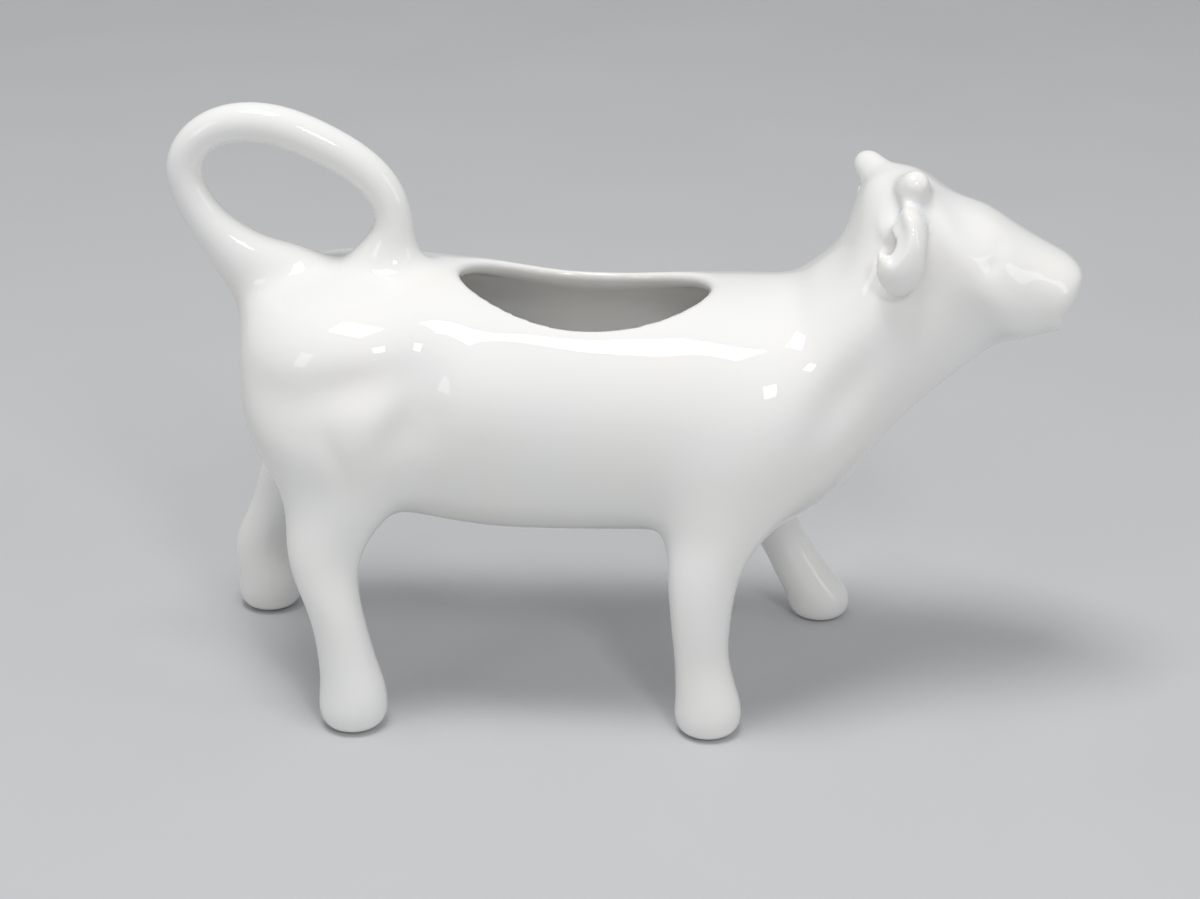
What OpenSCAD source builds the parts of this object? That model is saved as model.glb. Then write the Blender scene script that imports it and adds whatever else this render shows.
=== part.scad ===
// Cow creamer: a hollow white porcelain jug in the shape of a walking cow.
// It is filled through the oval opening in the back, lifted by the looped tail and
// pours through the mouth. Units are millimetres.
// +X runs towards the head, +Y to the cow's left and +Z up. The origin lies on the
// table, under the middle of the jug's length and width.
// The clay pieces are formed apart, luted together with slip and fired into one, so
// neighbouring pieces meet face to face at flat seams.

/* [Body] */
// Length of the trunk, from the rump to the front of the shoulders
trunk_l = 104; // [90:1:120]
// Height of the trunk at the hips, from belly to back
trunk_h = 49.5; // [42:0.5:58]
// Width of the trunk at the hips
trunk_w = 52; // [44:1:60]
// Clear height under the belly
belly_z = 33; // [28:0.5:40]
// Thickness of the cast wall
wall_t = 3; // [2.2:0.1:3.8]

/* [Filling opening] */
// Length of the opening in the back
opening_l = 45; // [34:1:52]
// Width of the opening in the back
opening_w = 28.6; // [20:0.5:34]
// Distance of the opening's middle from the rump
opening_x = 63; // [58:0.5:68]

/* [Head] */
// Reach of the nose in front of the shoulders
head_reach = 49; // [42:0.5:58]
// Height of the poll above the back
head_rise = 19; // [15:0.5:25]
// Width of the head across the cheeks
head_w = 29; // [25:0.5:34]
// Width of the pouring mouth
mouth_w = 8.4; // [7:0.2:10]
// Height of the pouring mouth
mouth_h = 5.6; // [5:0.1:6.4]

/* [Legs] */
// Sideways distance between the middles of a left and a right foot
stance_w = 48; // [42:0.5:54]
// Width of a foot at its widest
foot_d = 12.8; // [10.5:0.1:15]
// Distance of the right hind foot in front of the rump
right_hind_x = 21; // [12:0.5:28]
// Distance of the left hind foot behind the rump
left_hind_back = 1.8; // [0:0.1:8]
// Distance of the right front foot in front of the rump
right_front_x = 86.6; // [78:0.2:96]
// Distance of the left front foot in front of the rump
left_front_x = 108.8; // [98:0.2:114]

/* [Tail] */
// Reach of the tail loop behind the rump
tail_back = 12; // [9:0.5:16]
// Length of the tail loop, from its rear edge to its front edge
tail_l = 44; // [38:0.5:50]
// Height of the tail loop above the back
tail_rise = 29.5; // [25:0.5:35]
// Thickness of the tail
tail_d = 7; // [5.5:0.1:8.5]

/* [Ears and horns] */
// Length of an ear, from its root to its tip
ear_l = 21; // [16:0.5:26]
// Width of an ear
ear_w = 8.8; // [7:0.2:11]
// Thickness of an ear
ear_t = 4.4; // [3.4:0.1:6]
// Length of a horn outside the head
horn_l = 7.5; // [6:0.5:12]
// Thickness of a horn at its root
horn_d = 6.2; // [5.5:0.1:8]

/* [Hidden] */

porcelain = [0.95, 0.95, 0.93];

// Overrun of a cut past the face it opens
over = 2;

// Main places, measured along X from the middle of the whole length
creamer_l = tail_back + trunk_l + head_reach;
rump_x = tail_back - creamer_l / 2;
shoulder_x = rump_x + trunk_l;
back_z = belly_z + trunk_h;
poll_z = back_z + head_rise;

// Each row of the trunk is one upright ring: where its top and its bottom lie and half
// its width. Lengths are shares of the trunk's length, from the rump; heights are
// shares of its height, from the belly; half widths are shares of half its width.
trunk_shares = [
    [0.000, 0.70, 0.000, 0.56, 0.14],
    [0.006, 0.79, 0.006, 0.45, 0.34],
    [0.030, 0.89, 0.028, 0.28, 0.62],
    [0.080, 0.950, 0.080, 0.16, 0.83],
    [0.170, 0.985, 0.170, 0.100, 0.980],
    [0.290, 0.985, 0.290, 0.065, 1.005],
    [0.400, 0.970, 0.400, 0.025, 0.980],
    [0.520, 0.945, 0.520, 0.005, 0.965],
    [0.640, 0.930, 0.640, 0.000, 0.970],
    [0.760, 0.922, 0.760, 0.005, 0.985],
    [0.880, 0.925, 0.885, 0.012, 0.990],
    [0.960, 0.932, 0.975, 0.050, 0.93]];

// The neck and head carry the rings on. Lengths are shares of the head's reach, from
// the shoulders; heights are shares of the height from the trunk's belly to the poll;
// half widths are shares of half the head's width.
neck_shares = [
    [-0.020, 0.700, 0.115, 0.122, 1.52],
    [0.070, 0.765, 0.262, 0.250, 1.34],
    [0.125, 0.845, 0.420, 0.373, 1.17],
    [0.165, 0.930, 0.575, 0.467, 1.05]];
head_shares = [
    [0.230, 0.985, 0.672, 0.521, 1.00],
    [0.370, 0.986, 0.735, 0.538, 1.00],
    [0.500, 0.920, 0.790, 0.547, 0.96],
    [0.620, 0.890, 0.830, 0.554, 0.86],
    [0.730, 0.844, 0.858, 0.558, 0.76],
    [0.830, 0.800, 0.882, 0.563, 0.70],
    [0.905, 0.772, 0.905, 0.567, 0.65],
    [0.955, 0.752, 0.922, 0.580, 0.57],
    [0.983, 0.732, 0.938, 0.606, 0.45],
    [1.000, 0.710, 0.968, 0.648, 0.28]];

// Each row of a leg is one level ring: its height as a share of the hip's height, the
// sweep from foot to hip lengthwise and sideways, and half its length and half its
// width as shares of half the foot's width. The sole is cut flat at table height.
leg_h = belly_z + 0.62 * trunk_h;
hind_hip_x = rump_x + 0.16 * trunk_l;
front_hip_x = rump_x + 0.875 * trunk_l;
hip_y = 0.62 * trunk_w / 2;
hind_up_shares = [-0.025, 0.000, 0.018, 0.045, 0.085, 0.125, 0.175, 0.235, 0.310, 0.390,
    0.470, 0.550, 0.630, 0.700, 0.780, 0.870, 0.985, 1.090];
hind_out_shares = [0, 0, 0, 0, 0, 0, 0, 0, 0, 0.03, 0.13, 0.27, 0.44, 0.62, 0.80, 0.93, 1.1, 1.5];
hind_long_shares = [0.55, 0.80, 0.93, 1.00, 0.99, 0.94, 0.86, 0.80, 0.76, 0.77, 0.86, 0.99, 1.22,
    1.54, 1.82, 1.95, 1.60, 0.90];
hind_wide_shares = [0.55, 0.80, 0.93, 0.99, 0.97, 0.92, 0.85, 0.79, 0.75, 0.76, 0.81, 0.91, 1.06,
    1.25, 1.44, 1.54, 1.10, 0.60];
right_hind_sweep_shares = [0, 0, 0, 0, 0, 0, 0.10, 0.25, 0.45, 0.75, 1.06, 1.11, 0.80,
    0.42, 0.30, 0.57, 0.90, 1];
left_hind_sweep_shares = [0, 0, 0, 0, 0, -0.02, -0.06, -0.06, 0.04, 0.155, 0.27, 0.42, 0.57,
    0.73, 0.88, 0.97, 1, 1];
front_up_shares = [-0.025, 0.000, 0.018, 0.045, 0.085, 0.125, 0.175, 0.235, 0.310, 0.390,
    0.470, 0.540, 0.610, 0.690, 0.780, 0.870, 0.985, 1.090];
front_out_shares = [0, 0, 0, 0, 0, 0, 0, 0, 0, 0.03, 0.12, 0.26, 0.44, 0.62, 0.80, 0.93, 1.1, 1.5];
front_long_shares = [0.55, 0.80, 0.91, 0.96, 0.94, 0.87, 0.81, 0.76, 0.80, 0.87, 0.98, 1.13, 1.38,
    1.69, 1.88, 2.00, 1.95, 1.40];
front_wide_shares = [0.55, 0.80, 0.91, 0.95, 0.93, 0.87, 0.80, 0.75, 0.78, 0.83, 0.91, 1.01, 1.14,
    1.30, 1.44, 1.48, 1.20, 0.70];
right_front_sweep_shares = [0, 0, 0, 0, 0, -0.08, -0.19, -0.31, -0.37, -0.37, -0.31, -0.13, 0.17,
    0.44, 0.72, 0.90, 1, 1];
left_front_sweep_shares = [0, 0, 0, 0, 0.05, 0.155, 0.26, 0.385, 0.55, 0.685, 0.80, 0.91, 0.975,
    1.01, 1.02, 1, 1, 1];
// Rings from the sole to the seam at which a leg is luted to the body
leg_seam_steps = 10;

// The tail's route lies in the middle plane. Each row gives the way along the loop from
// its rear edge as a share of its length, the height above the back as a share of its
// rise, and the thickness seen from the side and from behind as shares of the tail's.
tail_shares = [
    [0.530, -0.31, 2.60, 1.50],
    [0.440, -0.17, 2.50, 1.45],
    [0.350, -0.04, 1.90, 1.35],
    [0.252, 0.10, 1.38, 1.16],
    [0.160, 0.26, 1.05, 1.02],
    [0.098, 0.43, 0.94, 0.95],
    [0.074, 0.585, 0.92, 0.94],
    [0.117, 0.735, 0.92, 0.96],
    [0.205, 0.838, 0.96, 1.00],
    [0.338, 0.875, 1.02, 1.03],
    [0.495, 0.838, 1.05, 1.04],
    [0.643, 0.742, 1.05, 1.03],
    [0.781, 0.618, 1.02, 1.00],
    [0.880, 0.465, 0.97, 0.98],
    [0.920, 0.310, 0.96, 0.98],
    [0.915, 0.160, 1.18, 1.08],
    [0.895, 0.030, 1.75, 1.35],
    [0.880, -0.130, 2.20, 1.50]];
// Rows from the tail's root to the seams at which it is luted to the rump and the back
tail_root_seam_steps = 3;
tail_front_seam_steps = 15;

// Ears and horns are set on by hand, the left ones further back: where the roots of the
// right and left ones lie along the head, as shares of its reach
ear_at_share = [0.300, 0.265];
horn_at_share = [0.330, 0.245];

// An ear's root on the head, and its rows: the way forwards, outwards and up from the
// root as shares of its length, and its breadth and thickness as shares of the ear's.
ear_root = [0.38 * head_w, belly_z + 0.90 * (poll_z - belly_z)];
ear_shares = [
    [0.02, -0.25, -0.06, 0.55, 1.00],
    [0.01, 0.04, -0.02, 0.74, 1.00],
    [0.00, 0.23, -0.02, 0.94, 1.00],
    [-0.01, 0.33, -0.18, 0.96, 0.94],
    [-0.02, 0.335, -0.38, 0.86, 0.82],
    [-0.03, 0.30, -0.52, 0.40, 0.45]];
ear_steps = 2;
// Rings from an ear's root to the seam at which it is luted to the head
ear_seam_steps = 3;

// A horn's root on the head, and its rows: the way along as a share of its length and
// its thickness as a share of the horn's.
horn_root = [0.20 * head_w, belly_z + 0.94 * (poll_z - belly_z)];
horn_shares = [[-0.30, 1.06], [0.15, 1.02], [0.50, 0.94], [0.70, 0.86], [0.86, 0.70], [0.96, 0.44],
    [1.00, 0.16]];
horn_seam_steps = 2;
right_horn_lean = 9;
right_horn_tilt = 47;
left_horn_lean = -25;
left_horn_tilt = 15;

// Height of the middle of the mouth
mouth_z = belly_z + 0.630 * (poll_z - belly_z);

// Points round a trunk, head or cavity ring, and sharpness of its corners
ring_sides = 36;
corner_power = 2.25;
limb_sides = 22;
tail_sides = 16;
small_sides = 16;

// Smooth curve through rows of numbers
function curve(a, b, c, d, t) = 0.5 * (2 * b + (c - a) * t
    + (2 * a - 5 * b + 4 * c - d) * pow(t, 2) + (3 * b - a - 3 * c + d) * pow(t, 3));
function row_at(rows, s) = let (last = len(rows) - 1, i = min(floor(s), last - 1))
    curve(rows[max(i - 1, 0)], rows[i], rows[i + 1], rows[min(i + 2, last)], s - i);
function refine(rows, steps) = [for (i = [0 : (len(rows) - 1) * steps]) row_at(rows, i / steps)];
function part_of(rows, from, to) = [for (i = [from : to]) rows[i]];

// A point of a rounded outline of half sizes 1, with the given power of its corners
function swell(a, power) = [sign(cos(a)) * pow(abs(cos(a)), 2 / power),
    sign(sin(a)) * pow(abs(sin(a)), 2 / power)];

// Solid skin over rings of equal point counts, closed by a flat cap at each end
module skin(rings) {
    sides = len(rings[0]);
    points = [for (ring = rings) for (p = ring) p];
    walls = [for (i = [0 : len(rings) - 2]) for (j = [0 : sides - 1])
        let (k = (j + 1) % sides, low = i * sides, high = low + sides)
        for (face = [[low + j, high + j, high + k], [low + j, high + k, low + k]]) face];
    caps = [[for (j = [0 : sides - 1]) j],
        [for (j = [sides - 1 : -1 : 0]) (len(rings) - 1) * sides + j]];
    polyhedron(points = points, faces = concat(walls, caps), convexity = 6);
}

// Upright ring of the trunk, neck or head; a row is top x, top z, bottom x, bottom z
// and half width, and the ring can be drawn in by a wall
function girth(row, inset) = let (
    top = [row[0], row[1]],
    bottom = [row[2], row[3]],
    middle = (top + bottom) / 2,
    reach = norm(top - bottom) / 2,
    up = (top - bottom) / (2 * reach),
    half_h = reach - inset,
    half_w = row[4] - inset)
    [for (j = [0 : ring_sides - 1])
        let (s = swell(360 * j / ring_sides, corner_power))
        [middle[0] + up[0] * half_h * s[1], half_w * s[0], middle[1] + up[1] * half_h * s[1]]];

trunk_rows = [for (r = trunk_shares) [rump_x + r[0] * trunk_l, belly_z + r[1] * trunk_h,
    rump_x + r[2] * trunk_l, belly_z + r[3] * trunk_h, r[4] * trunk_w / 2]];
function head_row(r) = [shoulder_x + r[0] * head_reach, belly_z + r[1] * (poll_z - belly_z),
    shoulder_x + r[2] * head_reach, belly_z + r[3] * (poll_z - belly_z), r[4] * head_w / 2];
neck_rows = [for (r = neck_shares) head_row(r)];
head_rows = [for (r = head_shares) head_row(r)];
girth_steps = 2;
all_rows = refine(concat(trunk_rows, neck_rows, head_rows), girth_steps);
// Rings from the rump to the seam at which the head is luted to the neck
neck_seam_steps = (len(trunk_rows) + len(neck_rows) - 1) * girth_steps;

// Rings taken up by the rump's wall and by the nose's, between which the hollow lies
rump_wall_steps = 4;
nose_wall_steps = 4;
nose_wall_at_step = len(all_rows) - 1 - nose_wall_steps;

// Rows of a leg: height, middle and half sizes of each level ring
function leg_rings(foot, hip, up, sweep, out, long, wide) =
    [for (i = [0 : len(up) - 1]) [up[i] * leg_h, foot[0] + sweep[i] * (hip[0] - foot[0]),
        foot[1] + out[i] * (hip[1] - foot[1]), long[i] * foot_d / 2, wide[i] * foot_d / 2]];
function level_ring(row) = [for (j = [0 : limb_sides - 1]) let (a = 360 * j / limb_sides)
    [row[1] + row[3] * cos(a), row[2] + row[4] * sin(a), row[0]]];

right_hind_rows = leg_rings([rump_x + right_hind_x, -stance_w / 2], [hind_hip_x, -hip_y],
    hind_up_shares, right_hind_sweep_shares, hind_out_shares, hind_long_shares, hind_wide_shares);
left_hind_rows = leg_rings([rump_x - left_hind_back, stance_w / 2], [hind_hip_x, hip_y],
    hind_up_shares, left_hind_sweep_shares, hind_out_shares, hind_long_shares, hind_wide_shares);
right_front_rows = leg_rings([rump_x + right_front_x, -stance_w / 2], [front_hip_x, -hip_y],
    front_up_shares, right_front_sweep_shares, front_out_shares, front_long_shares,
    front_wide_shares);
left_front_rows = leg_rings([rump_x + left_front_x, stance_w / 2], [front_hip_x, hip_y],
    front_up_shares, left_front_sweep_shares, front_out_shares, front_long_shares,
    front_wide_shares);

module leg(rows) {
    color(porcelain) difference() {
        skin([for (r = part_of(rows, 0, leg_seam_steps)) level_ring(r)]);
        translate([rows[0][1] - foot_d, rows[0][2] - foot_d, -over])
            cube([2 * foot_d, 2 * foot_d, over]);
    }
}
module leg_top(rows) {
    skin([for (r = part_of(rows, leg_seam_steps, len(rows) - 1)) level_ring(r)]);
}

// Tail rings stand square to the route
tail_x = rump_x - tail_back;
tail_rows = [for (r = tail_shares) [tail_x + r[0] * tail_l, back_z + r[1] * tail_rise,
    r[2] * tail_d / 2, r[3] * tail_d / 2]];
tail_steps = 2;
tail_route = refine(tail_rows, tail_steps);
function tail_way(i) = let (last = len(tail_route) - 1,
    way = tail_route[min(i + 1, last)] - tail_route[max(i - 1, 0)])
    [way[0], way[1]] / norm([way[0], way[1]]);
function tail_ring(i) = let (r = tail_route[i], way = tail_way(i))
    [for (j = [0 : tail_sides - 1]) let (a = -360 * j / tail_sides)
        [r[0] - way[1] * r[2] * cos(a), r[3] * sin(a), r[1] + way[0] * r[2] * cos(a)]];
module tail_part(from, to) {
    skin([for (i = [from : to]) tail_ring(i)]);
}

// Oval cut through the back
module filling_cut() {
    translate([rump_x + opening_x, 0, belly_z + trunk_h / 2])
        linear_extrude(trunk_h / 2 + over)
            scale([opening_l / 2, opening_w / 2]) circle(1, $fn = 48);
}

// Oval channel from the hollow of the head out between the lips
module mouth_cut() {
    translate([all_rows[nose_wall_at_step][0] - 2 * wall_t, 0, mouth_z]) rotate([90, 0, 90])
        linear_extrude(creamer_l / 2) scale([mouth_w / 2, mouth_h / 2]) circle(1, $fn = 24);
}

// Side is -1 for right and 1 for left
function set_x(at_share, side) = shoulder_x + at_share[side < 0 ? 0 : 1] * head_reach;

// Ear rings stand square to the ear's route, which starts at the root's place along X
ear_rows = [for (r = ear_shares) [r[0] * ear_l, ear_root[0] + r[1] * ear_l,
    ear_root[1] + r[2] * ear_l, r[3] * ear_w / 2, r[4] * ear_t / 2]];
ear_route = refine(ear_rows, ear_steps);
function ear_ring(i, side) = let (last = len(ear_route) - 1, r = ear_route[i],
    way = ear_route[min(i + 1, last)] - ear_route[max(i - 1, 0)],
    ahead = [way[0], way[1], way[2]] / norm([way[0], way[1], way[2]]),
    outward = cross(ahead, [1, 0, 0]) / norm(cross(ahead, [1, 0, 0])),
    broad = cross(outward, ahead))
    [for (j = [0 : small_sides - 1])
        let (a = side * 360 * j / small_sides,
            p = [r[0], r[1], r[2]] + broad * r[3] * cos(a) + outward * r[4] * sin(a))
        [set_x(ear_at_share, side) + p[0], side * p[1], p[2]]];
module ear_part(side, from, to) {
    skin([for (i = [from : to]) ear_ring(i, side)]);
}

// A horn is a blunt cone that points out, up and by its lean forwards
module horn_part(side, lean, tilt, from, to) {
    way = [sin(lean), side * cos(lean) * cos(tilt), cos(lean) * sin(tilt)];
    first = cross([0, 0, 1], way) / norm(cross([0, 0, 1], way));
    second = cross(way, first);
    skin([for (r = part_of(horn_shares, from, to)) [for (j = [0 : small_sides - 1])
        let (a = 360 * j / small_sides)
        [set_x(horn_at_share, side), side * horn_root[0], horn_root[1]] + way * r[0] * horn_l
            + (first * cos(a) + second * sin(a)) * r[1] * horn_d / 2]]);
}

module body_shell() {
    color(porcelain) difference() {
        union() {
            skin([for (r = part_of(all_rows, 0, neck_seam_steps)) girth(r, 0)]);
            leg_top(right_hind_rows);
            leg_top(left_hind_rows);
            leg_top(right_front_rows);
            leg_top(left_front_rows);
            tail_part(0, tail_root_seam_steps * tail_steps);
            tail_part(tail_front_seam_steps * tail_steps, len(tail_route) - 1);
        }
        skin([for (r = part_of(all_rows, rump_wall_steps, neck_seam_steps + 1)) girth(r, wall_t)]);
        filling_cut();
    }
}

module head_shell() {
    color(porcelain) difference() {
        union() {
            skin([for (r = part_of(all_rows, neck_seam_steps, len(all_rows) - 1)) girth(r, 0)]);
            for (side = [-1, 1]) ear_part(side, 0, ear_seam_steps);
            horn_part(-1, right_horn_lean, right_horn_tilt, 0, horn_seam_steps);
            horn_part(1, left_horn_lean, left_horn_tilt, 0, horn_seam_steps);
        }
        skin([for (r = part_of(all_rows, neck_seam_steps - 1, nose_wall_at_step)) girth(r, wall_t)]);
        mouth_cut();
    }
}

module right_front_leg() {
    leg(right_front_rows);
}
module left_front_leg() {
    leg(left_front_rows);
}
module right_hind_leg() {
    leg(right_hind_rows);
}
module left_hind_leg() {
    leg(left_hind_rows);
}

module tail_handle() {
    color(porcelain) tail_part(tail_root_seam_steps * tail_steps, tail_front_seam_steps * tail_steps);
}

module right_ear() {
    color(porcelain) ear_part(-1, ear_seam_steps, len(ear_route) - 1);
}
module left_ear() {
    color(porcelain) ear_part(1, ear_seam_steps, len(ear_route) - 1);
}
module right_horn() {
    color(porcelain)
        horn_part(-1, right_horn_lean, right_horn_tilt, horn_seam_steps, len(horn_shares) - 1);
}
module left_horn() {
    color(porcelain)
        horn_part(1, left_horn_lean, left_horn_tilt, horn_seam_steps, len(horn_shares) - 1);
}

body_shell();
head_shell();
right_front_leg();
left_front_leg();
right_hind_leg();
left_hind_leg();
tail_handle();
right_ear();
left_ear();
right_horn();
left_horn();
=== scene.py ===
import math

import bmesh
import bpy
import numpy as np
import openvdb
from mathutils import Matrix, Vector


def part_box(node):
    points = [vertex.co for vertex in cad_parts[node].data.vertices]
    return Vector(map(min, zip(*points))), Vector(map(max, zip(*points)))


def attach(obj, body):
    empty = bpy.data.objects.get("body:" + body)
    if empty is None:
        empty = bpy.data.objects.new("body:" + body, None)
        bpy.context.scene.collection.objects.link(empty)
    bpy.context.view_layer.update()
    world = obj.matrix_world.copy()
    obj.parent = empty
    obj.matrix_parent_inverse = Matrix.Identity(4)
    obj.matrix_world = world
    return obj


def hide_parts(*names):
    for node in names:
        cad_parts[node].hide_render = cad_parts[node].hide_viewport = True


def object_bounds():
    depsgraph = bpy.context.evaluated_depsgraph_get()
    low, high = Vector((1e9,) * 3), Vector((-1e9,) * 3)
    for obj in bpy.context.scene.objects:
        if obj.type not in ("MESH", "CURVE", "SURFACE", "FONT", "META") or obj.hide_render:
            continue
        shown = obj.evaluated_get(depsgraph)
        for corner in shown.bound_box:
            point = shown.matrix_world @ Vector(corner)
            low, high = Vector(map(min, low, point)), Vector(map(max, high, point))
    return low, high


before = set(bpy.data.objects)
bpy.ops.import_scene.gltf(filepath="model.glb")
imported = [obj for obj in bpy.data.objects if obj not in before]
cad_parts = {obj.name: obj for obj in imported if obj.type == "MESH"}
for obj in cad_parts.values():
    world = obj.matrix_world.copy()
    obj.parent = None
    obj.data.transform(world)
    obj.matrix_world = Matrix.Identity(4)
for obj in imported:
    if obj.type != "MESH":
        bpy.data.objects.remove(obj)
CREAMER_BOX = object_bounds()

bl_info = {
    "name": "Cow creamer",
    "version": (1, 0, 0),
    "blender": (4, 5, 0),
    "location": "View3D > Sidebar > Creamer",
    "description": "Models the glazed porcelain of a cow creamer on its packed frame",
    "category": "Add Mesh",
}

# The work is done in millimetres and turned to metres when a piece becomes a mesh.
# +X runs towards the head, +Y to the cow's left and +Z up, from the table.
MM = 0.001

# How far from a surface its distance is known, in millimetres
BAND = 8.0

# A bell curve is worked out to this many times its reach
BELL = 3

# Keeps a divisor, or a distance whose sign counts, clear of nought
TINY = 1e-6

# Both sides of the cow, as a factor on places across it and as the start of a node's name
SIDES = ((-1, "right"), (1, "left"))


def linear(code):
    """Linear red, green, blue and alpha of an sRGB hex colour."""
    parts = [int(code[i:i + 2], 16) / 255 for i in (0, 2, 4)]
    return [p / 12.92 if p <= 0.04045 else ((p + 0.055) / 1.055) ** 2.4 for p in parts] + [1.0]


def length(name, description, millimetres):
    """A length that a user can change, given here in millimetres."""
    return bpy.props.FloatProperty(name=name, description=description, precision=5,
                                   default=millimetres * MM, min=0, unit="LENGTH")


def colour(name, description, code):
    """A colour that a user can change, given here as sRGB hex."""
    return bpy.props.FloatVectorProperty(name=name, description=description, size=4,
                                         subtype="COLOR", default=linear(code), min=0, max=1)


class CreamerSizes(bpy.types.PropertyGroup):
    """Sizes of the cast shell and of what is luted to it."""
    trunk_length: length("Trunk length", "From the rump to the front of the shoulders", 104)
    trunk_height: length("Trunk height", "From belly to back at the hips", 49.5)
    trunk_width: length("Trunk width", "Across the hips", 52)
    belly_height: length("Belly height", "Clear height under the belly", 33)
    wall: length("Wall", "Thickness of the cast wall", 3)
    opening_length: length("Opening length", "Length of the opening in the back", 45)
    opening_width: length("Opening width", "Width of the opening in the back", 28.6)
    opening_place: length("Opening place", "Distance of the opening's middle from the rump", 63)
    head_reach: length("Head reach", "Reach of the nose in front of the shoulders", 49)
    head_rise: length("Head rise", "Height of the poll above the back", 19)
    head_width: length("Head width", "Across the cheeks", 29)
    mouth_width: length("Mouth width", "Width of the pouring mouth", 8.4)
    mouth_height: length("Mouth height", "Height of the pouring mouth", 5.6)
    stance_width: length("Stance width", "Between the middles of left and right feet", 48)
    foot_width: length("Foot width", "Width of a foot at its widest", 12.8)
    right_hind_foot: length("Right hind foot", "Distance in front of the rump", 21)
    left_hind_foot: length("Left hind foot", "Distance behind the rump", 1.8)
    right_front_foot: length("Right front foot", "Distance in front of the rump", 86.6)
    left_front_foot: length("Left front foot", "Distance in front of the rump", 108.8)
    tail_back: length("Tail back", "Reach of the tail loop behind the rump", 12)
    tail_length: length("Tail length", "Tail loop from its rear edge to its front edge", 44)
    tail_rise: length("Tail rise", "Height of the tail loop above the back", 29.5)
    tail_thickness: length("Tail thickness", "Thickness of the tail", 7)
    ear_length: length("Ear length", "From root to tip", 21)
    ear_width: length("Ear width", "Across an ear", 8.8)
    ear_thickness: length("Ear thickness", "Thickness of an ear", 4.4)
    horn_length: length("Horn length", "Length of a horn outside the head", 7.5)
    horn_thickness: length("Horn thickness", "Thickness of a horn at its root", 6.2)


class CreamerEdges(bpy.types.PropertyGroup):
    """How far the slip and the glaze round each corner, and how finely it is meshed."""
    hip_fillet: length("Hip fillet", "Reach of the fillet where a leg meets the trunk", 9)
    tail_fillet: length("Tail fillet", "Reach of the fillet where the tail meets the trunk", 7)
    ear_fillet: length("Ear fillet", "Reach of the fillet round an ear's root", 3.6)
    horn_fillet: length("Horn fillet", "Reach of the fillet round a horn's root", 4.2)
    rim_round: length("Rim round", "Reach of the rounding on the opening's rim", 2.6)
    lip_round: length("Lip round", "Reach of the rounding on the lips", 2.4)
    sole_round: length("Sole round", "Reach of the rounding round a sole", 2)
    body_step: length("Body step", "Size of the body's mesh faces", 0.75)
    head_step: length("Head step", "Size of the head's mesh faces", 0.55)


class CreamerFinish(bpy.types.PropertyGroup):
    """Colours of the glaze, the clay and the floor."""
    glaze: colour("Glaze", "White of the porcelain under its clear glaze", "F1F1F0")
    thin_glaze: colour("Thin glaze", "Where the glaze runs thin over an edge", "F4F1EA")
    pooled_glaze: colour("Pooled glaze", "Where the glaze pools in a hollow", "E2E6EA")
    biscuit: colour("Biscuit", "Bare fired clay of a wiped sole", "E4DED2")
    floor: colour("Floor", "Plain pale floor", "C6C7C9")


# Rows of the trunk, neck and head: where the top and the bottom of each ring lie and
# half its width. On the trunk, lengths are shares of its length from the rump, heights
# of its height from the belly and half widths of half its width. On the neck and head
# they are shares of the head's reach from the shoulders, of the height from belly to
# poll and of half the head's width.
TRUNK_SHARES = [
    [0.000, 0.70, 0.000, 0.56, 0.14], [0.006, 0.79, 0.006, 0.45, 0.34],
    [0.030, 0.89, 0.028, 0.28, 0.62], [0.080, 0.950, 0.080, 0.16, 0.83],
    [0.170, 0.985, 0.170, 0.100, 0.980], [0.290, 0.985, 0.290, 0.065, 1.005],
    [0.400, 0.970, 0.400, 0.025, 0.980], [0.520, 0.945, 0.520, 0.005, 0.965],
    [0.640, 0.930, 0.640, 0.000, 0.970], [0.760, 0.922, 0.760, 0.005, 0.985],
    [0.880, 0.925, 0.885, 0.012, 0.990], [0.960, 0.932, 0.975, 0.050, 0.93]]
NECK_SHARES = [
    [-0.020, 0.700, 0.115, 0.122, 1.52], [0.070, 0.765, 0.262, 0.250, 1.34],
    [0.125, 0.845, 0.420, 0.373, 1.17], [0.165, 0.930, 0.575, 0.467, 1.05]]
HEAD_SHARES = [
    [0.230, 0.985, 0.672, 0.521, 1.00], [0.370, 0.986, 0.735, 0.538, 1.00],
    [0.500, 0.920, 0.790, 0.547, 0.96], [0.620, 0.890, 0.830, 0.554, 0.86],
    [0.730, 0.844, 0.858, 0.558, 0.76], [0.830, 0.800, 0.882, 0.563, 0.70],
    [0.905, 0.772, 0.905, 0.567, 0.65], [0.955, 0.752, 0.922, 0.580, 0.57],
    [0.983, 0.732, 0.938, 0.606, 0.45], [1.000, 0.710, 0.968, 0.648, 0.28]]
# How square those rings are, where 2 is an ellipse
CORNER_POWER = 2.25

# Rows of a leg, from the sole up: height as a share of the hip's height, sweep from foot
# to hip sideways, half length and half width as shares of half the foot's width. Each leg
# has a sweep lengthwise of its own.
HIND_UP = [-0.025, 0, 0.018, 0.045, 0.085, 0.125, 0.175, 0.235, 0.31, 0.39, 0.47, 0.55,
           0.63, 0.70, 0.78, 0.87, 0.985, 1.09]
HIND_OUT = [0, 0, 0, 0, 0, 0, 0, 0, 0, 0.03, 0.13, 0.27, 0.44, 0.62, 0.80, 0.93, 1.1, 1.5]
HIND_LONG = [0.55, 0.80, 0.93, 1.00, 0.99, 0.94, 0.86, 0.80, 0.76, 0.77, 0.86, 0.99, 1.22,
             1.54, 1.82, 1.95, 1.60, 0.90]
HIND_WIDE = [0.55, 0.80, 0.93, 0.99, 0.97, 0.92, 0.85, 0.79, 0.75, 0.76, 0.81, 0.91, 1.06,
             1.25, 1.44, 1.54, 1.10, 0.60]
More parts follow.
